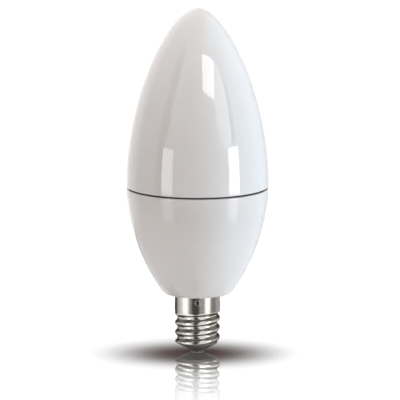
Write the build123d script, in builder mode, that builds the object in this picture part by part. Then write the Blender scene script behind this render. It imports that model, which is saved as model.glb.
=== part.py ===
"""Candle-shaped LED lamp with a small screw base.

A milky diffuser dome stands in a moulded housing, with an open groove at their joint. A thin metal shell,
rolled to a round thread, is staked on the housing's neck and holds the insulator and its contact button.
The lamp's axis is Z, with the base down, and the origin is the centre of the contact's face.
Lengths are in millimetres, angles in degrees.
"""
import os
from math import cos, radians, tan

from build123d import *

# Overall sizes
lamp_height = 90.4
bulb_diameter = 37.0
seam_height = 43.3  # the middle of the joint groove
foot_height = 15.1  # the housing's flat underside

# Diffuser: its outline leaves the rim upright and reaches the tip level
belly_pull = 24.6  # how far the upright start reaches
nose_pull = 7.0  # how far the level end reaches
spigot_length = 3.0

# Joint groove between diffuser and housing
groove_width = 0.45
groove_depth = 1.6
rim_rounding = 0.25
spigot_clearance = 0.1

# Housing
side_arc_radius = 51.0
foot_radius = 8.5  # where side and underside would meet, without the rounding
foot_rounding = 2.8

# Screw shell, rolled from thin sheet
sheet = 0.3
thread_diameter = 11.66
thread_depth = 0.65
thread_pitch = 2.54
crest_rounding = 0.79
thread_start = 1.18  # height of the crest's middle where the thread starts, under the turned-in edge
skirt_diameter = 11.72
skirt_length = 4.5  # its straight part
lip_opening_diameter = 8.8

# Stake marks in the skirt
stake_count = 4
stake_ball_radius = 0.8
stake_depth = 0.33
stake_drop = 1.5  # below the housing's underside

# Insulator and contact
base_cone_angle = 28.0
insulator_top = 4.2
contact_diameter = 3.2
contact_head = 0.3
contact_rounding = 0.15
contact_margin = 0.15  # flat land of the insulator round the contact's head
shank_diameter = 1.4
shank_length = 2.2

# Room between pieces that fit into each other
fit_clearance = 0.1
seat_clearance = 0.05

# Sizes that follow from those above
bulb_radius = bulb_diameter / 2
diffuser_rim = seam_height + groove_width / 2
housing_rim = seam_height - groove_width / 2
spigot_radius = bulb_radius - groove_depth
spigot_end = diffuser_rim - spigot_length
recess_radius = spigot_radius + spigot_clearance

crest_radius = thread_diameter / 2
root_radius = crest_radius - thread_depth
skirt_radius = skirt_diameter / 2
skirt_flare = skirt_radius - root_radius
skirt_start = foot_height - skirt_length - skirt_flare  # the flare rises at 45 degrees from here
thread_end = foot_height - skirt_length + crest_rounding  # the last crest has run up inside the skirt
lip_radius = lip_opening_diameter / 2
neck_radius = skirt_radius - sheet - fit_clearance
neck_end = skirt_start + skirt_flare + sheet
stem_radius = root_radius - sheet - fit_clearance

contact_radius = contact_diameter / 2
shank_radius = shank_diameter / 2
cone_foot_radius = contact_radius + contact_margin
stake_height = foot_height - stake_drop
stake_centre_radius = skirt_radius + stake_ball_radius - stake_depth


def cone_height(radius, rise=0.0):
    """Height of the base's cone at a radius, or of a like cone that lies `rise` inside it."""
    return contact_head + (radius - cone_foot_radius) * tan(radians(base_cone_angle)) + rise / cos(
        radians(base_cone_angle)
    )


def stake_balls(radius):
    """Places balls on the stake marks of the open part, cutting them out of it."""
    with PolarLocations(stake_centre_radius, stake_count, start_angle=-90):
        with Locations((0, 0, stake_height)):
            Sphere(radius, mode=Mode.SUBTRACT)


def rolled_form(inset):
    """The screw shell's outer form, or a like form that lies `inset` inside it."""
    root = root_radius - inset
    skirt = skirt_radius - inset
    flare_start = skirt_start + inset * tan(radians(45 / 2))  # an inner flare's corners lie higher
    top = foot_height + inset  # an inner form comes out at the shell's open end
    with BuildPart() as form:
        Cylinder(root, top, align=(Align.CENTER, Align.CENTER, Align.MIN))
        with BuildLine() as crest:
            Helix(
                thread_pitch,
                thread_end - thread_start,
                crest_radius - crest_rounding,
                center=(0, 0, thread_start),
            )
        with BuildSketch(Plane(origin=crest.line @ 0, z_dir=crest.line % 0)):
            Circle(crest_rounding - inset)
        sweep(path=crest.line, is_frenet=True)
        with BuildSketch(Plane.XZ):
            Polygon(
                (0, flare_start),
                (root, flare_start),
                (skirt, flare_start + skirt_flare),
                (skirt, top),
                (0, top),
                align=None,
            )
        revolve(axis=Axis.Z)
        with BuildSketch(Plane.XZ):
            Polygon(
                (0, cone_height(0, inset)),
                (bulb_radius, cone_height(bulb_radius, inset)),
                (bulb_radius, lamp_height),
                (0, lamp_height),
                align=None,
            )
        revolve(axis=Axis.Z, mode=Mode.INTERSECT)
    return form.part


# Diffuser: a dome with a spigot that stands on the floor of the housing's recess
with BuildPart() as diffuser:
    with BuildSketch(Plane.XZ):
        with BuildLine():
            dome = Bezier(
                (bulb_radius, diffuser_rim),
                (bulb_radius, diffuser_rim + belly_pull),
                (nose_pull, lamp_height),
                (0, lamp_height),
            )
            Polyline(
                dome @ 1,
                (0, spigot_end),
                (spigot_radius, spigot_end),
                (spigot_radius, diffuser_rim),
                dome @ 0,
            )
        rim_corner = make_face().vertices().sort_by(Axis.X)[-1]
        fillet(rim_corner, rim_rounding)
    revolve(axis=Axis.Z)
diffuser.part.label = "diffuser"

# Housing: a bowl with a recess above and, below, the neck inside the screw shell
with BuildPart() as housing:
    with BuildSketch(Plane.XZ):
        with BuildLine():
            side = RadiusArc((bulb_radius, housing_rim), (foot_radius, foot_height), side_arc_radius)
            Polyline(
                side @ 1,
                (neck_radius, foot_height),
                (neck_radius, neck_end),
                (stem_radius, neck_end),
                (stem_radius, insulator_top),
                (0, insulator_top),
                (0, spigot_end),
                (recess_radius, spigot_end),
                (recess_radius, housing_rim),
                side @ 0,
            )
        bowl = make_face()
        fillet(bowl.vertices().sort_by(Axis.X)[-1], rim_rounding)
        fillet(bowl.vertices().sort_by_distance(side @ 1)[0], foot_rounding)
    revolve(axis=Axis.Z)
    stake_balls(stake_ball_radius + sheet + fit_clearance)
housing.part.label = "housing"

# Screw shell: thin sheet all over, so its inside is the same rolled form one sheet further in
with BuildPart() as shell_inside:
    add(rolled_form(sheet))
    stake_balls(stake_ball_radius + sheet)

with BuildPart() as screw_shell:
    add(rolled_form(0))
    add(shell_inside.part, mode=Mode.SUBTRACT)
    Cylinder(
        lip_radius,
        insulator_top,
        align=(Align.CENTER, Align.CENTER, Align.MIN),
        mode=Mode.SUBTRACT,
    )
    stake_balls(stake_ball_radius)
screw_shell.part.label = "screw_shell"

# Insulator: fills the shell's end, and its cone comes through the turned-in edge
with BuildPart() as base_insulator:
    with BuildSketch(Plane.XZ):
        nose_radius = lip_radius - fit_clearance
        seat_rise = sheet + seat_clearance
        Polygon(
            (0, contact_head),
            (cone_foot_radius, contact_head),
            (nose_radius, cone_height(nose_radius)),
            (nose_radius, cone_height(nose_radius, seat_rise)),
            (stem_radius, cone_height(stem_radius, seat_rise)),
            (stem_radius, insulator_top),
            (0, insulator_top),
            align=None,
        )
    revolve(axis=Axis.Z)
    with Locations((0, 0, contact_head)):
        Cylinder(
            shank_radius + fit_clearance,
            shank_length + fit_clearance,
            align=(Align.CENTER, Align.CENTER, Align.MIN),
            mode=Mode.SUBTRACT,
        )
base_insulator.part.label = "base_insulator"

# Contact: a flat button on a shank
with BuildPart() as centre_contact:
    Cylinder(contact_radius, contact_head, align=(Align.CENTER, Align.CENTER, Align.MIN))
    fillet(centre_contact.edges().group_by(Axis.Z)[0], contact_rounding)
    with Locations((0, 0, contact_head)):
        Cylinder(shank_radius, shank_length, align=(Align.CENTER, Align.CENTER, Align.MIN))
centre_contact.part.label = "centre_contact"

os.makedirs("parts", exist_ok=True)
for piece in (diffuser, housing, screw_shell, base_insulator, centre_contact):
    export_step(piece.part, f"parts/{piece.part.label}.step")
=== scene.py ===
"""Candle-shaped LED lamp, dressed over its CAD frame, with a floor, studio light and a camera.

Lengths are in metres, named with `mm` where that is easier to read. Angles are in degrees.
Azimuth is counted from the front, which faces -Y, to the right, and elevation upwards from the level.
"""
from math import atan2, ceil, cos, degrees, pi, radians, sin, sqrt, tan

import bmesh
import bpy
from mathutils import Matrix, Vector

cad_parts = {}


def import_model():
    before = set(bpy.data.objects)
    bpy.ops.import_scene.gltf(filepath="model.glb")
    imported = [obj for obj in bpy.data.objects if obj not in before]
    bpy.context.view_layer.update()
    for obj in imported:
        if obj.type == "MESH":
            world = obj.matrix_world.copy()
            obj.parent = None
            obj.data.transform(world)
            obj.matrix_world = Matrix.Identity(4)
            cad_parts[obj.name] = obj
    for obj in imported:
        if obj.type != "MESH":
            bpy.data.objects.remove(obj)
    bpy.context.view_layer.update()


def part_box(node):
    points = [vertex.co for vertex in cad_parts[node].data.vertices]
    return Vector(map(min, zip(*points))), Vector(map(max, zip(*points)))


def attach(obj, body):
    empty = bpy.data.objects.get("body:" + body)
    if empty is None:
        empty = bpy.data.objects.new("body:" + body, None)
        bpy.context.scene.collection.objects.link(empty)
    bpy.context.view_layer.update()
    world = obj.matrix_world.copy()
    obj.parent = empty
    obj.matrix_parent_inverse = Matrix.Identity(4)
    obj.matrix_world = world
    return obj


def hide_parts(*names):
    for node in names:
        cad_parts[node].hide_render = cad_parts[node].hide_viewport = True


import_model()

mm = 0.001


# Sizes that the frame gives


def half_width(node):
    """Half of a round node's width: the smallest that its box shows, so that nothing leaves the box."""
    low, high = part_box(node)
    return min(-low.x, -low.y, high.x, high.y)


bulb_radius = half_width("diffuser")
spigot_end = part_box("diffuser")[0].z
lamp_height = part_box("diffuser")[1].z
housing_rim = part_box("housing")[1].z
foot_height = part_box("screw_shell")[1].z
skirt_radius = half_width("screw_shell")
stem_radius = half_width("base_insulator")
contact_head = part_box("base_insulator")[0].z
insulator_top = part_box("base_insulator")[1].z
contact_radius = half_width("centre_contact")
shank_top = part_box("centre_contact")[1].z

# Sizes that it doesn't give, as in the part
groove_width = 0.45 * mm
groove_depth = 1.6 * mm
rim_rounding = 0.25 * mm
belly_pull = 24.6 * mm
nose_pull = 7.0 * mm
side_arc_radius = 51.0 * mm
foot_radius = 8.5 * mm
foot_rounding = 2.8 * mm
clearance = 0.1 * mm
sheet = 0.3 * mm
thread_depth = 0.65 * mm
thread_pitch = 2.54 * mm
thread_start = 1.18 * mm
crest_radius = 5.83 * mm
skirt_length = 4.5 * mm
lip_radius = 4.4 * mm
cone_angle = 28.0
contact_margin = 0.15 * mm
contact_rounding = 0.15 * mm
shank_radius = 0.7 * mm
stake_count = 4
stake_ball_radius = 0.8 * mm
stake_depth = 0.33 * mm
stake_drop = 1.5 * mm

# Sizes that follow from those above
diffuser_rim = housing_rim + groove_width
spigot_radius = bulb_radius - groove_depth
recess_radius = spigot_radius + clearance
root_radius = crest_radius - thread_depth
skirt_end = foot_height - skirt_length
neck_radius = skirt_radius - sheet - clearance
neck_end = skirt_end + sheet
cone_foot_radius = contact_radius + contact_margin
stake_height = foot_height - stake_drop
stake_low = stake_height - stake_ball_radius
stake_high = stake_height + stake_ball_radius
stake_centre_radius = skirt_radius + stake_ball_radius - stake_depth

# Soft corners of the rolled sheet
flare_softness = 0.25 * mm
run_out_softness = 0.3 * mm  # where the thread runs into the skirt
stake_softness = 0.05 * mm
edge_softness = 0.25 * mm  # where the thread runs into the turned-in edge

# Fineness of the meshes
segments = 192
shell_columns = 240
stake_crowding = 0.6  # how much closer the shell's columns stand at the stake marks
dome_steps = 110
side_steps = 60
foot_steps = 14
rim_steps = 6
contact_edge_steps = 8
edge_row = 0.045 * mm  # the most height between two rows of vertices, here and below
thread_row = 0.09 * mm
skirt_row = 0.3 * mm
stake_row = 0.06 * mm
top_row = 0.2 * mm
pocket_row = 0.15 * mm
row_margin = 0.2 * mm  # how far fine rows go on past the turned-in edge and past the flare
wall_columns = 144
shade_columns = 64
crease_angle = 40.0
rounding_error = 1e-6  # as a share of a row
on_axis = 1e-9


# Outlines: lists of (radius, height)


def arc(centre, radius, start, end, steps):
    """Points on an arc between two angles, counted from outwards to upwards."""
    turns = [radians(start + (end - start) * i / steps) for i in range(steps + 1)]
    return [(centre[0] + radius * cos(a), centre[1] + radius * sin(a)) for a in turns]


def bezier(start, pull_start, pull_end, end, steps):
    """Points on a cubic curve."""
    corners = [Vector(p) for p in (start, pull_start, pull_end, end)]
    points = []
    for i in range(steps + 1):
        t = i / steps
        weights = ((1 - t) ** 3, 3 * t * (1 - t) ** 2, 3 * t * t * (1 - t), t**3)
        points.append(tuple(sum((w * c for w, c in zip(weights, corners)), Vector((0, 0)))))
    return points


def stepped(low, high, row):
    """Heights from low to high, with no step longer than a row."""
    count = ceil((high - low) / row - rounding_error)
    return [low + (high - low) * i / count for i in range(count)] + [high]


# Meshes


def new_piece(name, builder, node, material):
    """Makes a piece from a bmesh, gives it its finish and puts it in the place of a CAD node."""
    mesh = bpy.data.meshes.new(name)
    bmesh.ops.recalc_face_normals(builder, faces=builder.faces)
    builder.to_mesh(mesh)
    builder.free()
    mesh.shade_smooth()
    mesh.set_sharp_from_angle(angle=radians(crease_angle))
    mesh.materials.append(material)
    piece = bpy.data.objects.new(name, mesh)
    bpy.context.collection.objects.link(piece)
    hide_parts(node)
    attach(piece, "root")


def lathe(outline, shape=None):
    """Turns an outline that starts and ends on the axis into a closed mesh.

    shape(radius, angle, height), where it is given, changes the radius along the way.
    """
    builder = bmesh.new()
    rings = []
    for radius, height in outline:
        if radius < on_axis:
            rings.append([builder.verts.new((0, 0, height))])
            continue
        ring = []
        for i in range(segments):
            angle = 2 * pi * i / segments
            r = shape(radius, angle, height) if shape else radius
            ring.append(builder.verts.new((r * cos(angle), r * sin(angle), height)))
        rings.append(ring)
    for upper, lower in zip(rings, rings[1:]):
        join_rings(builder, upper, lower)
    return builder


def join_rings(builder, upper, lower):
    """Fills the strip between two rings, of which one may be a single point."""
    count = max(len(upper), len(lower))
    for i in range(count):
        j = (i + 1) % count
        if len(upper) == 1:
            builder.faces.new((upper[0], lower[i], lower[j]))
        elif len(lower) == 1:
            builder.faces.new((upper[i], lower[0], upper[j]))
        else:
            builder.faces.new((upper[i], lower[i], lower[j], upper[j]))


def stake_dent(angle, height, ball_radius):
    """Radius at which a ray from the axis meets the nearest stake mark's ball, or None where it misses."""
    step = 2 * pi / stake_count
    off = (angle + step / 2) % step - step / 2
    reach = ball_radius**2 - (height - stake_height) ** 2 - (stake_centre_radius * sin(off)) ** 2
    if reach <= 0:
        return None
    return stake_centre_radius * cos(off) - sqrt(reach)


def soft_least(a, b, rounding):
    """The lesser of two lengths, with the corner between them rounded."""
    blend = max(rounding - abs(a - b), 0) / rounding
    return min(a, b) - blend * blend * rounding / 4


def soft_most(a, b, rounding):
    """The greater of two lengths, with the corner between them rounded."""
    return -soft_least(-a, -b, rounding)


# Diffuser and housing


def diffuser_mesh():
    """The dome, its rounded rim and the spigot below it."""
    rim_centre = (bulb_radius - rim_rounding, diffuser_rim + rim_rounding)
    dome = bezier(
        (0, lamp_height),
        (nose_pull, lamp_height),
        (bulb_radius, diffuser_rim + belly_pull),
        (bulb_radius, rim_centre[1]),
        dome_steps,
    )
    rim = arc(rim_centre, rim_rounding, 0, -90, rim_steps)
    spigot = [(spigot_radius, diffuser_rim), (spigot_radius, spigot_end), (0, spigot_end)]
    return lathe(dome + rim[1:] + spigot)


def side_arc_centre():
    """Centre of the housing's side, through its rim and the corner where it would meet the underside."""
    top = Vector((bulb_radius, housing_rim))
    foot = Vector((foot_radius, foot_height))
    chord = foot - top
    inward = Vector((chord.y, -chord.x)).normalized()
    return (top + foot) / 2 + inward * sqrt(side_arc_radius**2 - (chord.length / 2) ** 2)


def corner_rounding(side_centre, rounding, height):
    """Centre of a rounding that runs inside the side arc at a height, and the angle where they touch."""
    rise = height - side_centre.y
    out = sqrt((side_arc_radius - rounding) ** 2 - rise**2)
    return (side_centre.x + out, height), degrees(atan2(rise, out))


def housing_mesh():
    """The bowl with its recess, and the neck with a pocket behind each stake mark."""
    side_centre = side_arc_centre()
    rim_centre, rim_angle = corner_rounding(side_centre, rim_rounding, housing_rim - rim_rounding)
    foot_centre, foot_angle = corner_rounding(side_centre, foot_rounding, foot_height + foot_rounding)
    recess = [(0, spigot_end), (recess_radius, spigot_end), (recess_radius, housing_rim)]
    rim = arc(rim_centre, rim_rounding, 90, rim_angle, rim_steps)
    side = arc(side_centre, side_arc_radius, rim_angle, foot_angle, side_steps)
    foot = arc(foot_centre, foot_rounding, foot_angle, -90, foot_steps)
    neck = [(neck_radius, z) for z in reversed(stepped(neck_end, foot_height, pocket_row))]
    stem = [(stem_radius, neck_end), (stem_radius, insulator_top), (0, insulator_top)]
    pocket_radius = stake_ball_radius + sheet + clearance

    def with_pockets(radius, angle, height):
        dent = stake_dent(angle, height, pocket_radius) if radius == neck_radius else None
        return radius if dent is None else min(radius, dent)

    return lathe(recess + rim + side[1:] + foot[1:] + neck + stem, with_pockets)


# Screw shell


def cone_height(radius, rise=0.0):
    """Height of the base's cone at a radius, or of a like cone that lies `rise` inside it."""
    slope = radians(cone_angle)
    return contact_head + (radius - cone_foot_radius) * tan(slope) + rise / cos(slope)


def cone_radius(height):
    """Radius of the base's cone at a height."""
    return cone_foot_radius + (height - contact_head) / tan(radians(cone_angle))


def thread_radius(angle, height):
    """A round thread: crest and root are like arcs that meet at the middle of the flank."""
    flank_angle = 2 * atan2(2 * thread_depth, thread_pitch)
    arc_radius = thread_pitch / 4 / sin(flank_angle)
    turns = (height - thread_start) / thread_pitch - angle / (2 * pi)
    off = abs(turns - round(turns)) * thread_pitch
    if off < thread_pitch / 4:
        return crest_radius - arc_radius + sqrt(arc_radius**2 - off**2)
    return root_radius + arc_radius - sqrt(arc_radius**2 - (thread_pitch / 2 - off) ** 2)


def shell_radius(angle, height):
    """The shell's outside: the thread, the flare to the skirt, the stake marks and the turned-in edge."""
    flare = skirt_radius - (skirt_end - height)
    skirt = soft_least(flare, skirt_radius, flare_softness)
    radius = min(soft_most(thread_radius(angle, height), skirt, run_out_softness), skirt_radius)
    dent = stake_dent(angle, height, stake_ball_radius)
    if dent is not None:
        radius = soft_least(radius, dent, stake_softness)
    return soft_least(radius, cone_radius(height), edge_softness)


def crowded_angle(column):
    """Angle of one of the shell's columns, which stand closer together at the stake marks."""
    even = 2 * pi * column / shell_columns
    return even - stake_crowding * sin(stake_count * even) / stake_count


def shell_heights():
    """Heights of the shell's rows, closer where its form turns quickly."""
    lip_end = cone_height(lip_radius)
    edge_end = cone_height(crest_radius) + row_margin
    thread_end = skirt_end + row_margin
    stretches = (
        (lip_end, edge_end, edge_row),
        (edge_end, thread_end, thread_row),
        (thread_end, stake_low, skirt_row),
        (stake_low, stake_high, stake_row),
        (stake_high, foot_height, top_row),
    )
    heights = [lip_end]
    for low, high, row in stretches:
        heights += stepped(low, high, row)[1:]
    return heights


def inside_place(vert):
    """The place one sheet inside a vertex of the shell, but not past the lip's opening or the open end."""
    outward = vert.normal if vert.normal.xy.dot(vert.co.xy) > 0 else -vert.normal
    place = vert.co - outward * sheet
    place.xy = place.xy.normalized() * max(place.xy.length, lip_radius)
    place.z = min(place.z, foot_height)
    return place


def screw_shell_mesh():
    """The rolled outside, its inside one sheet further in, and the two edges between them."""
    builder = bmesh.new()
    angles = [crowded_angle(i) for i in range(shell_columns)]
    outside = []
    for height in shell_heights():
        radii = [shell_radius(angle, height) for angle in angles]
        outside.append([builder.verts.new((r * cos(a), r * sin(a), height)) for r, a in zip(radii, angles)])
    for lower, upper in zip(outside, outside[1:]):
        join_rings(builder, upper, lower)
    builder.normal_update()
    inside = [[builder.verts.new(inside_place(vert)) for vert in ring] for ring in outside]
    for lower, upper in zip(inside, inside[1:]):
        join_rings(builder, lower, upper)
    join_rings(builder, inside[-1], outside[-1])
    join_rings(builder, outside[0], inside[0])
    return builder


# Insulator and contact


def insulator_mesh():
    """The plug in the shell's end, its cone through the lip, and the bore for the contact's shank."""
    nose_radius = lip_radius - clearance
    seat_rise = sheet + clearance / 2
    bore_radius = shank_radius + clearance
    bore_end = shank_top + clearance
    outline = [
        (0, insulator_top),
        (stem_radius, insulator_top),
        (stem_radius, cone_height(stem_radius, seat_rise)),
        (nose_radius, cone_height(nose_radius, seat_rise)),
        (nose_radius, cone_height(nose_radius)),
        (cone_foot_radius, contact_head),
        (bore_radius, contact_head),
        (bore_radius, bore_end),
        (0, bore_end),
    ]
    return lathe(outline)


def contact_mesh():
    """The button with its rounded edge, and its shank."""
    edge_centre = (contact_radius - contact_rounding, contact_rounding)
    shank = [(0, shank_top), (shank_radius, shank_top), (shank_radius, contact_head)]
    edge = arc(edge_centre, contact_rounding, 0, -90, contact_edge_steps)
    return lathe(shank + [(contact_radius, contact_head)] + edge + [(0, 0)])


# Parts of materials

noise_low = 0.3  # a noise seldom leaves the range between these
noise_high = 0.7


def new_material(name):
    """A material with its shader, and the coordinates for its textures: the object's own, in metres."""
    material = bpy.data.materials.new(name)
    material.use_nodes = True
    tree = material.node_tree
    shader = tree.nodes["Principled BSDF"]
    place = tree.nodes.new("ShaderNodeTexCoord").outputs["Object"]
    return material, tree, shader, place


def noise(tree, place, size, detail=3.0):
    """A noise texture whose lumps are about `size` across."""
    node = tree.nodes.new("ShaderNodeTexNoise")
    node.inputs["Scale"].default_value = 1 / size
    node.inputs["Detail"].default_value = detail
    tree.links.new(place, node.inputs["Vector"])
    return node.outputs["Fac"]


def ramp(tree, value, *stops):
    """Colours along a value: stops are (value, colour)."""
    node = tree.nodes.new("ShaderNodeValToRGB")
    elements = node.color_ramp.elements
    while len(elements) < len(stops):
        elements.new(1.0)
    for element, (position, colour) in zip(elements, stops):
        element.position = position
        element.color = (*colour, 1)
    tree.links.new(value, node.inputs["Fac"])
    return node.outputs["Color"]


def mottled(tree, value, dull, pale):
    """Two colours along a noise."""
    return ramp(tree, value, (noise_low, dull), (noise_high, pale))


def spread(tree, value, low, high):
    """A value from 0 to 1 as one from low to high."""
    node = tree.nodes.new("ShaderNodeMapRange")
    node.inputs["To Min"].default_value = low
    node.inputs["To Max"].default_value = high
    tree.links.new(value, node.inputs["Value"])
    return node.outputs["Result"]


def share_between(tree, value, near, far, blend="LINEAR"):
    """A value as a share: 0 at `near` and 1 at `far`."""
    node = tree.nodes.new("ShaderNodeMapRange")
    node.interpolation_type = blend
    node.inputs["From Min"].default_value = near
    node.inputs["From Max"].default_value = far
    tree.links.new(value, node.inputs["Value"])
    return node.outputs["Result"]


def worked_out(tree, operation, *values):
    """What a Math node makes of its values: sockets, or plain numbers."""
    node = tree.nodes.new("ShaderNodeMath")
    node.operation = operation
    for socket, value in zip(node.inputs, values):
        if isinstance(value, (int, float)):
            socket.default_value = value
        else:
            tree.links.new(value, socket)
    return node.outputs[0]


def upward_part(tree, vector):
    """The Z of a vector."""
    node = tree.nodes.new("ShaderNodeSeparateXYZ")
    tree.links.new(vector, node.inputs[0])
    return node.outputs["Z"]


def axis_distance(tree, place, near, far, blend="LINEAR", forward=0.0):
    """How far a point lies from the axis, or from a line in front of it: 0 at `near` and 1 at `far`."""
    flat = tree.nodes.new("ShaderNodeVectorMath")
    flat.operation = "MULTIPLY_ADD"
    flat.inputs[1].default_value = (1, 1, 0)
    flat.inputs[2].default_value = (0, forward, 0)
    tree.links.new(place, flat.inputs[0])
    length = tree.nodes.new("ShaderNodeVectorMath")
    length.operation = "LENGTH"
    tree.links.new(flat.outputs["Vector"], length.inputs[0])
    return share_between(tree, length.outputs["Value"], near, far, blend)


def mixed(tree, factor, first, second):
    """Two colours mixed: sockets, or plain colours."""
    node = tree.nodes.new("ShaderNodeMix")
    node.data_type = "RGBA"
    tree.links.new(factor, node.inputs["Factor"])
    for socket, colour in ((node.inputs[6], first), (node.inputs[7], second)):
        if isinstance(colour, tuple):
            socket.default_value = (*colour, 1)
        else:
            tree.links.new(colour, socket)
    return node.outputs[2]


def bump(tree, value, depth, shader):
    """Stands the surface up by `depth` where the value is 1."""
    node = tree.nodes.new("ShaderNodeBump")
    node.inputs["Distance"].default_value = depth
    tree.links.new(value, node.inputs["Height"])
    tree.links.new(node.outputs["Normal"], shader.inputs["Normal"])


# Materials of the lamp


def moulded_plastic(name, pale, dull, roughness, subsurface, subsurface_depth):
    """Moulded white plastic: faint cloudiness, fine orange peel, and painted shade in the joint groove."""
    # painted shade: the faces inside the joint groove are darkened with this brown
    groove_shade = (0.13, 0.11, 0.1)
    groove_shade_depth = 0.6 * groove_depth
    groove_shade_margin = 0.02 * mm
    cloud_size = 14 * mm
    sheen_size = 3 * mm
    peel_size = 1.6 * mm
    peel_depth = 0.0012 * mm
    material, tree, shader, place = new_material(name)
    cloud = mottled(tree, noise(tree, place, cloud_size), dull, pale)
    outer = axis_distance(tree, place, bulb_radius - groove_shade_depth, bulb_radius - rim_rounding)
    inner = worked_out(tree, "SUBTRACT", 1.0, outer)
    groove_middle = housing_rim + groove_width / 2
    groove_shade_reach = groove_width / 2 + groove_shade_margin
    beside = worked_out(tree, "COMPARE", upward_part(tree, place), groove_middle, groove_shade_reach)
    groove_shaded = worked_out(tree, "MULTIPLY", inner, beside)
    tree.links.new(mixed(tree, groove_shaded, cloud, groove_shade), shader.inputs["Base Color"])
    tree.links.new(spread(tree, noise(tree, place, sheen_size), *roughness), shader.inputs["Roughness"])
    bump(tree, noise(tree, place, peel_size, detail=1.0), peel_depth, shader)
    shader.inputs["IOR"].default_value = 1.5
    shader.inputs["Subsurface Weight"].default_value = subsurface
    shader.inputs["Subsurface Radius"].default_value = (1.0, 0.85, 0.7)
    shader.inputs["Subsurface Scale"].default_value = subsurface_depth
    return material


def rolled_nickel():
    """Plated sheet: rolling marks round the axis, and painted shade on upper flanks and in the stake marks.
    """
    dull_plating = (0.66, 0.64, 0.59)
    bright_plating = (0.78, 0.76, 0.71)
    upper_flank_shade = (0.12, 0.115, 0.1)
    flank_shade_start = 0.05  # the upward part of the surface's direction where the painted shade starts
    flank_shade_full = 0.4
    stake_mark_shade = (0.06, 0.055, 0.05)
    stake_shade_start = 0.005 * mm  # the depth in a stake mark where the painted shade starts
    stake_shade_full = 0.08 * mm
    rolling_size = 2.5 * mm
    rolling_squeeze = 25
    rolling_depth = 0.0008 * mm
    wear_size = 1.2 * mm
    roughness = (0.05, 0.12)
    material, tree, shader, place = new_material("shell_nickel")
    squeezed = tree.nodes.new("ShaderNodeVectorMath")
    squeezed.operation = "MULTIPLY"
    squeezed.inputs[1].default_value = (1, 1, rolling_squeeze)
    tree.links.new(place, squeezed.inputs[0])
    rolling = noise(tree, squeezed.outputs["Vector"], rolling_size, detail=4.0)
    plating = mottled(tree, rolling, dull_plating, bright_plating)
    facing = tree.nodes.new("ShaderNodeTexCoord").outputs["Normal"]
    # painted shade: upward-facing flanks are darkened by their direction
    upwards = share_between(tree, upward_part(tree, facing), flank_shade_start, flank_shade_full)
    flank_shaded = mixed(tree, upwards, plating, upper_flank_shade)
    # painted shade: the inside of each stake mark is darkened, standing for the shadow in the dent
    outer = axis_distance(tree, place, skirt_radius - stake_shade_full, skirt_radius - stake_shade_start)
    below = worked_out(tree, "LESS_THAN", upward_part(tree, place), stake_low)
    unmarked = worked_out(tree, "MAXIMUM", outer, below)
    tree.links.new(mixed(tree, unmarked, stake_mark_shade, flank_shaded), shader.inputs["Base Color"])
    tree.links.new(spread(tree, noise(tree, place, wear_size), *roughness), shader.inputs["Roughness"])
    bump(tree, rolling, rolling_depth, shader)
    shader.inputs["Metallic"].default_value = 1.0
    # a dark edge tint: painted shade on the shell's grazing edges
    shader.inputs["Specular Tint"].default_value = (0.3, 0.28, 0.25, 1)
    return material


def insulator_plastic():
    """Dark moulded insulator with a fine grain."""
    dark = (0.05, 0.046, 0.042)
    pale = (0.085, 0.078, 0.07)
    grain_size = 0.5 * mm
    grain_depth = 0.004 * mm
    roughness = (0.25, 0.45)
    material, tree, shader, place = new_material("insulator_plastic")
    grain = noise(tree, place, grain_size)
    tree.links.new(mottled(tree, grain, dark, pale), shader.inputs["Base Color"])
    tree.links.new(spread(tree, grain, *roughness), shader.inputs["Roughness"])
    bump(tree, grain, grain_depth, shader)
    shader.inputs["IOR"].default_value = 1.5
    return material


def contact_metal():
    """Plated button, a little tarnished and darkened as painted shade, with fine wear from the holder's
    spring.
    """
    # both colours are tarnish plus painted shade for the button's place under the lamp
    shaded_tarnish = (0.2, 0.18, 0.15)
    shaded_clean = (0.34, 0.31, 0.27)
    tarnish_size = 0.9 * mm
    wear_size = 0.15 * mm
    wear_depth = 0.002 * mm
    roughness = (0.2, 0.4)
    material, tree, shader, place = new_material("contact_metal")
    tarnish = noise(tree, place, tarnish_size)
    wear = noise(tree, place, wear_size)
    tree.links.new(mottled(tree, tarnish, shaded_tarnish, shaded_clean), shader.inputs["Base Color"])
    tree.links.new(spread(tree, wear, *roughness), shader.inputs["Roughness"])
    bump(tree, wear, wear_depth, shader)
    shader.inputs["Metallic"].default_value = 1.0
    return material


# The lamp
milky = moulded_plastic(
    "milky_plastic",
    pale=(0.84, 0.82, 0.8),
    dull=(0.81, 0.79, 0.77),
    roughness=(0.025, 0.045),
    subsurface=0.3,
    subsurface_depth=2.0 * mm,
)
white = moulded_plastic(
    "white_plastic",
    pale=(0.83, 0.8, 0.775),
    dull=(0.8, 0.77, 0.745),
    roughness=(0.07, 0.11),
    subsurface=0.2,
    subsurface_depth=0.8 * mm,
)
new_piece("diffuser_dome", diffuser_mesh(), "diffuser", milky)
new_piece("housing_bowl", housing_mesh(), "housing", white)
new_piece("rolled_shell", screw_shell_mesh(), "screw_shell", rolled_nickel())
new_piece("insulator_cone", insulator_mesh(), "base_insulator", insulator_plastic())
new_piece("contact_button", contact_mesh(), "centre_contact", contact_metal())

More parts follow.
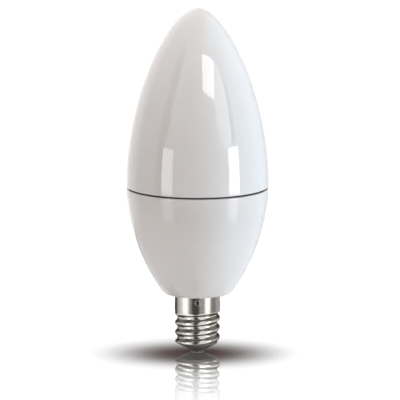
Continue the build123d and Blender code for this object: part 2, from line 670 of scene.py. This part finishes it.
# Sizes and levels of the stage
floor_reach = 6.0
floor_dull = (0.985, 0.985, 0.985)
floor_pale = (1.0, 1.0, 1.0)
floor_bounce = (0.6, 0.6, 0.6)  # the floor's colour for light that it gives back to the lamp
floor_lift = 0.012  # a little light of its own where the camera sees it
floor_cloud_size = 0.4
floor_polish_size = 0.1
floor_roughness = (0.02, 0.03)
gloss_near = 15 * mm  # the floor is glossy round a point in front of the lamp, and dull farther away
gloss_far = 75 * mm
gloss_forward = 24 * mm
mirror_near = 10 * mm  # close to the lamp it is a mirror, too
mirror_far = 46 * mm
mirror_forward = 4 * mm
mirror_share = 0.83
ambient_colour = (1.0, 0.93, 0.9)
ambient_level = 0.195
sun_angle = 22.0
sun_azimuth = 168.0
sun_elevation = 85.0
ribbon_distance = 1.5
strip_bend = -12.0  # the elevation below which the bright strips are dimmer
strip_end = -26.0
grid_angle = 19.0  # how far aside a panel shines through its honeycomb grid
floor_grid_angle = 27.0
wide_grid_angle = 43.0
grid_softness = 3.0
white_light = (1.0, 1.0, 1.0)


# Stage


def direction(azimuth, elevation):
    """The way to an azimuth and elevation."""
    a = radians(azimuth)
    e = radians(elevation)
    return Vector((sin(a) * cos(e), -cos(a) * cos(e), sin(e)))


def stage_object(name, builder, material):
    """Makes an object of the stage from a bmesh."""
    mesh = bpy.data.meshes.new(name)
    builder.to_mesh(mesh)
    builder.free()
    mesh.materials.append(material)
    thing = bpy.data.objects.new(name, mesh)
    bpy.context.collection.objects.link(thing)
    return thing


def only_in_reflections(thing):
    """Hides an object from everything but reflections."""
    thing.visible_camera = False
    thing.visible_diffuse = False
    thing.visible_shadow = False
    return thing


def glow(name, colour, strength, grid=None):
    """A material that shines on its front and is clear from behind, and isn't a lamp for other surfaces.

    A honeycomb grid, as on a studio softbox, leaves only what shines within its angle of straight ahead.
    """
    material = bpy.data.materials.new(name)
    material.use_nodes = True
    material.cycles.emission_sampling = "NONE"
    tree = material.node_tree
    tree.nodes.clear()
    shine = tree.nodes.new("ShaderNodeEmission")
    shine.name = "shine"
    shine.inputs["Color"].default_value = (*colour, 1)
    shine.inputs["Strength"].default_value = strength
    clear = tree.nodes.new("ShaderNodeBsdfTransparent")
    cover = tree.nodes.new("ShaderNodeMixShader")
    cover.name = "cover"
    tree.links.new(tree.nodes.new("ShaderNodeNewGeometry").outputs["Backfacing"], cover.inputs[0])
    tree.links.new(shine.outputs[0], cover.inputs[1])
    tree.links.new(clear.outputs[0], cover.inputs[2])
    out = tree.nodes.new("ShaderNodeOutputMaterial")
    tree.links.new(cover.outputs[0], out.inputs["Surface"])
    if grid:
        aside = tree.nodes.new("ShaderNodeLayerWeight").outputs["Facing"]
        grid_start, grid_end = (1 - cos(radians(grid + way * grid_softness)) for way in (-1, 1))
        clear_more(tree, share_between(tree, aside, grid_start, grid_end))
    return material


def clear_more(tree, share):
    """Makes a glowing material clear by a further share."""
    clear_share = tree.nodes["cover"].inputs[0]
    share_before = clear_share.links[0].from_socket
    tree.links.new(worked_out(tree, "MAXIMUM", share_before, share), clear_share)


def turn_inwards(builder):
    """Turns the faces of a stage mesh towards the lamp."""
    for face in builder.faces:
        face.normal_update()
        if face.normal.dot(face.calc_center_median()) > 0:
            face.normal_flip()


def reflected_ribbon(name, strength, pairs):
    """A shining ribbon far away, from pairs of directions (azimuth, elevation) at its two edges."""
    builder = bmesh.new()
    middle = Vector((0, 0, housing_rim))
    edges = []
    for pair in pairs:
        edges.append([builder.verts.new(middle + direction(*way) * ribbon_distance) for way in pair])
    for (left, right), (next_left, next_right) in zip(edges, edges[1:]):
        builder.faces.new((left, right, next_right, next_left))
    turn_inwards(builder)
    only_in_reflections(stage_object(name, builder, glow(name, white_light, strength)))


def reflected_strip(name, strength, end_strength, top, left, right):
    """An upright ribbon between two azimuths, dimmer at its lower end, from the corners of its top."""
    bend = ((left, strip_bend), (right, strip_bend))
    end = ((left, strip_end), (right, strip_end))
    reflected_ribbon(name, strength, [top, bend])
    reflected_ribbon(f"{name}_end", end_strength, [bend, end])


def reflected_wall(name, radius, low, high, stops, grid=None, lean=0.0):
    """A round wall between two heights that shines by azimuth: stops are (azimuth, grey).

    Its upper edge leans in by an angle.
    """
    builder = bmesh.new()
    turns = [2 * pi * i / wall_columns for i in range(wall_columns)]
    top_radius = radius - (high - low) * tan(radians(lean))
    upper, lower = (
        [builder.verts.new((edge * cos(a), edge * sin(a), height)) for a in turns]
        for edge, height in ((top_radius, high), (radius, low))
    )
    join_rings(builder, upper, lower)
    turn_inwards(builder)
    for face in builder.faces:
        face.smooth = True
    brightest = max(grey for azimuth, grey in stops)
    material = glow(name, white_light, brightest, grid)
    tree = material.node_tree
    turn = tree.nodes.new("ShaderNodeTexGradient")
    turn.gradient_type = "RADIAL"
    tree.links.new(tree.nodes.new("ShaderNodeTexCoord").outputs["Object"], turn.inputs["Vector"])
    colours = [(azimuth / 360 + 0.5, (grey / brightest,) * 3) for azimuth, grey in stops]
    tree.links.new(ramp(tree, turn.outputs["Fac"], *colours), tree.nodes["shine"].inputs["Color"])
    wall = only_in_reflections(stage_object(name, builder, material))
    wall.rotation_euler.z = radians(-90)  # the gradient's middle turns to the front


def reflected_shade(name, place, tilt, width, height, core, grey, colour=white_light, grid=None):
    """A dark oval, dense out to its core and soft beyond, which darkens what mirrors it."""
    builder = bmesh.new()
    bmesh.ops.create_circle(builder, cap_ends=True, segments=shade_columns, radius=1.0)
    material = glow(name, colour, grey, grid)
    tree = material.node_tree
    oval = tree.nodes.new("ShaderNodeTexCoord").outputs["Object"]
    clear_more(tree, axis_distance(tree, oval, core, 1.0, "SMOOTHERSTEP"))
    shade = only_in_reflections(stage_object(name, builder, material))
    shade.scale = (width / 2, height / 2, 1)
    shade.rotation_euler.x = radians(tilt)
    shade.location = place


def floor():
    """A pale floor, polished only near the lamp, clear from below and in reflections."""
    builder = bmesh.new()
    corners = ((-1, -1), (1, -1), (1, 1), (-1, 1))
    builder.faces.new([builder.verts.new((x * floor_reach, y * floor_reach, 0)) for x, y in corners])
    material, tree, shader, place = new_material("floor_white")
    seen = tree.nodes.new("ShaderNodeLightPath").outputs["Is Camera Ray"]
    pale = mottled(tree, noise(tree, place, floor_cloud_size), floor_dull, floor_pale)
    tree.links.new(mixed(tree, seen, floor_bounce, pale), shader.inputs["Base Color"])
    polish = noise(tree, place, floor_polish_size)
    tree.links.new(spread(tree, polish, *floor_roughness), shader.inputs["Roughness"])
    dull = axis_distance(tree, place, gloss_near, gloss_far, "SMOOTHSTEP", gloss_forward)
    tree.links.new(spread(tree, dull, 1.0, 0.0), shader.inputs["Coat Weight"])
    plain = axis_distance(tree, place, mirror_near, mirror_far, "SMOOTHSTEP", mirror_forward)
    tree.links.new(spread(tree, plain, mirror_share, 0.0), shader.inputs["Metallic"])
    tree.links.new(worked_out(tree, "MULTIPLY", seen, floor_lift), shader.inputs["Emission Strength"])
    shader.inputs["Emission Color"].default_value = (*white_light, 1)
    shader.inputs["Specular IOR Level"].default_value = 0.0
    shader.inputs["Coat Roughness"].default_value = 0.02
    shader.inputs["Coat IOR"].default_value = 2.4
    through = tree.nodes.new("ShaderNodeMixShader")
    tree.links.new(tree.nodes.new("ShaderNodeNewGeometry").outputs["Backfacing"], through.inputs[0])
    tree.links.new(shader.outputs[0], through.inputs[1])
    tree.links.new(tree.nodes.new("ShaderNodeBsdfTransparent").outputs[0], through.inputs[2])
    tree.links.new(through.outputs[0], tree.nodes["Material Output"].inputs["Surface"])
    plane = stage_object("floor", builder, material)
    plane.visible_glossy = False


def overhead_sun(level, colour):
    """An even soft light from above that gives the floor a brightness of `level`."""
    data = bpy.data.lights.new("overhead", "SUN")
    data.energy = level * pi
    data.angle = radians(sun_angle)
    data.color = colour
    lamp = bpy.data.objects.new("overhead", data)
    lamp.rotation_euler = direction(sun_azimuth, sun_elevation).to_track_quat("Z", "Y").to_euler()
    lamp.visible_glossy = False
    bpy.context.collection.objects.link(lamp)


def area_lamp(name, place, size, level, colour):
    """A soft lamp at a place, which gives a white surface at the bulb's rim a brightness of `level`."""
    away = Vector(place) - Vector((0, 0, housing_rim))
    data = bpy.data.lights.new(name, "AREA")
    data.shape = "DISK"
    data.size = size
    data.energy = level * pi**2 * away.length_squared
    data.color = colour
    lamp = bpy.data.objects.new(name, data)
    lamp.location = place
    lamp.rotation_euler = away.to_track_quat("Z", "Y").to_euler()
    lamp.visible_glossy = False
    bpy.context.collection.objects.link(lamp)


def world():
    """White where it is seen or mirrored, and a weak warm light from all round."""
    sky = bpy.data.worlds.new("studio")
    bpy.context.scene.world = sky
    sky.use_nodes = True
    tree = sky.node_tree
    tree.nodes.clear()
    ambient = tree.nodes.new("ShaderNodeBackground")
    ambient.inputs["Color"].default_value = (*ambient_colour, 1)
    ambient.inputs["Strength"].default_value = ambient_level
    backdrop = tree.nodes.new("ShaderNodeBackground")
    backdrop.inputs["Color"].default_value = (*white_light, 1)
    backdrop.inputs["Strength"].default_value = 1.0
    path = tree.nodes.new("ShaderNodeLightPath")
    seen = path.outputs["Is Camera Ray"]
    for name in ("Is Glossy Ray", "Is Transmission Ray"):
        seen = worked_out(tree, "MAXIMUM", seen, path.outputs[name])
    choice = tree.nodes.new("ShaderNodeMixShader")
    tree.links.new(seen, choice.inputs[0])
    tree.links.new(ambient.outputs[0], choice.inputs[1])
    tree.links.new(backdrop.outputs[0], choice.inputs[2])
    out = tree.nodes.new("ShaderNodeOutputWorld")
    tree.links.new(choice.outputs[0], out.inputs["Surface"])


# Floor and light
floor()
world()
overhead_sun(level=0.72, colour=(0.935, 0.967, 1.0))
area_lamp("right_key", place=(0.25, -0.045, 0.02), size=0.12, level=0.74, colour=(0.72, 0.89, 1.05))
area_lamp("left_fill", place=(-1.7, -0.3, 1.1), size=0.8, level=0.145, colour=(1.0, 0.9, 0.84))
area_lamp("front_fill", place=(0.4, -1.95, 0.35), size=0.8, level=0.145, colour=(1.0, 0.91, 0.86))
area_lamp("back_fill", place=(-0.9, 1.7, 0.6), size=0.8, level=0.16, colour=(0.96, 0.98, 1.0))

# Shades, painted shade seen only in reflections: the floor mirrors the one behind the lamp as its painted
# contact shadow, and the screw base those under it and before it
reflected_shade(
    "back_shade",
    place=(-0.6 * mm, 25 * mm, 5.5 * mm),
    tilt=90,
    width=68 * mm,
    height=10.4 * mm,
    core=0.08,
    grey=0.05,
    colour=(1, 0.4, 0.32),
    grid=grid_angle,
)
reflected_shade(
    "foot_shade",
    place=(0, 0, -1 * mm),
    tilt=0,
    width=20 * mm,
    height=20 * mm,
    core=0.5,
    grey=0.18,
)
reflected_shade(
    "front_shade",
    place=(-0.5 * mm, -6.3 * mm, 4 * mm),
    tilt=-90,
    width=3.2 * mm,
    height=50 * mm,
    core=0.15,
    grey=0.07,
    grid=wide_grid_angle,
)

# What the bulb mirrors: the studio's wall, and panels and dark gaps before it
reflected_wall(
    "studio_wall",
    radius=5.0,
    low=-1.8,
    high=8.0,
    stops=[
        (-180, 1.3), (-120, 1.4), (-116, 0.85), (-60, 0.85), (-56, 1.8), (62, 1.8), (66, 1.5),
        (130, 1.3), (150, 0.75), (172, 0.75), (177, 1.0), (180, 1.0),
    ],
)
reflected_strip(
    "right_strip",
    strength=9.0,
    end_strength=3.5,
    top=((52.5, 6.4), (72.6, 5.2)),
    left=52.6,
    right=72.6,
)
reflected_strip(
    "left_strip",
    strength=5.5,
    end_strength=2.5,
    top=((-59.6, 5.8), (-41.2, 6.6)),
    left=-60.9,
    right=-40.9,
)
reflected_ribbon(
    "window",
    strength=9.0,
    pairs=[((16.1, 46.0), (50.3, 37.7)), ((11.6, 29.0), (35.1, 23.9))],
)
reflected_ribbon(
    "left_gap",
    strength=0.1,
    pairs=[
        ((-72, -14), (-61, -14)), ((-72, 5.8), (-59.6, 5.8)), ((-72, 6.4), (-57, 6.4)),
        ((-69, 13), (-52, 13)), ((-69, 21), (-50.5, 21)), ((-66, 34), (-43, 34)),
        ((-58, 42), (-41.5, 42)), ((-53, 49), (-50, 49)), ((-62, 55), (-59, 55)), ((-67, 63), (-64, 63)),
    ],
)
reflected_ribbon(
    "right_panel",
    strength=3.5,
    pairs=[((50, 36), (60, 33)), ((36, 23), (62, 21)), ((36, 13), (62, 12)), ((44, 7), (61, 7))],
)
reflected_ribbon(
    "right_gap",
    strength=0.3,
    pairs=[
        ((62, 7), (68, 7)), ((63, 14), (71, 14)), ((62.5, 24), (70.5, 24)), ((60, 32), (64, 32)),
        ((66, 44), (68, 44)),
    ],
)

# What the polished floor mirrors from other sides: a white ring, which its grid hides from the bulb
reflected_wall(
    "floor_wall",
    radius=125 * mm,
    low=8 * mm,
    high=49 * mm,
    stops=[(-180, 1.0), (180, 1.0)],
    grid=floor_grid_angle,
    lean=30,
)

# What the screw base mirrors, below the floor's level: a wall far out, and one close by for the lower flanks
reflected_wall(
    "base_wall",
    radius=120 * mm,
    low=-22 * mm,
    high=-1 * mm,
    stops=[
        (-180, 0.8), (-162, 0.6), (-157, 0.04), (-138, 0.04), (-124, 0.4), (-116, 0.5), (-82, 0.9),
        (-76, 1.4), (-54, 1.4), (-42, 0.5), (-34, 0.28), (-22, 0.05), (2, 0.05), (14, 0.33), (34, 0.42),
        (43, 1.4), (60, 1.4), (73, 0.4), (80, 0.26), (98, 0.26), (124, 0.55), (131, 0.75), (180, 0.8),
    ],
    grid=grid_angle,
)
reflected_wall(
    "base_pit",
    radius=22 * mm,
    low=-45 * mm,
    high=-1 * mm,
    stops=[
        (-180, 0.2), (-84, 0.2), (-76, 1.0), (-30, 1.0), (-17, 0.2), (-1, 0.2), (12, 1.0), (62, 1.0),
        (70, 0.3), (180, 0.3),
    ],
)

# Camera: the lamp's origin falls on its pixel in the picture
picture_width = 400
sensor_width = 36.0
camera_elevation = 9.8
camera_distance = 3.0
view_end = 20.0
pixels_per_metre = 3845.0
origin_pixel = (197.4, 350.9)

camera_data = bpy.data.cameras.new("camera")
camera_data.sensor_width = sensor_width
camera_data.lens = sensor_width * pixels_per_metre * camera_distance / picture_width
camera_data.clip_end = view_end
camera = bpy.data.objects.new("camera", camera_data)
bpy.context.collection.objects.link(camera)
aim_right = (picture_width / 2 - origin_pixel[0]) / pixels_per_metre
aim_up = (origin_pixel[1] - picture_width / 2) / pixels_per_metre / cos(radians(camera_elevation))
towards_camera = direction(0, camera_elevation)
camera.location = Vector((aim_right, 0, aim_up)) + towards_camera * camera_distance
camera.rotation_euler = towards_camera.to_track_quat("Z", "Y").to_euler()
bpy.context.scene.camera = camera
bpy.context.scene.view_settings.view_transform = "Standard"
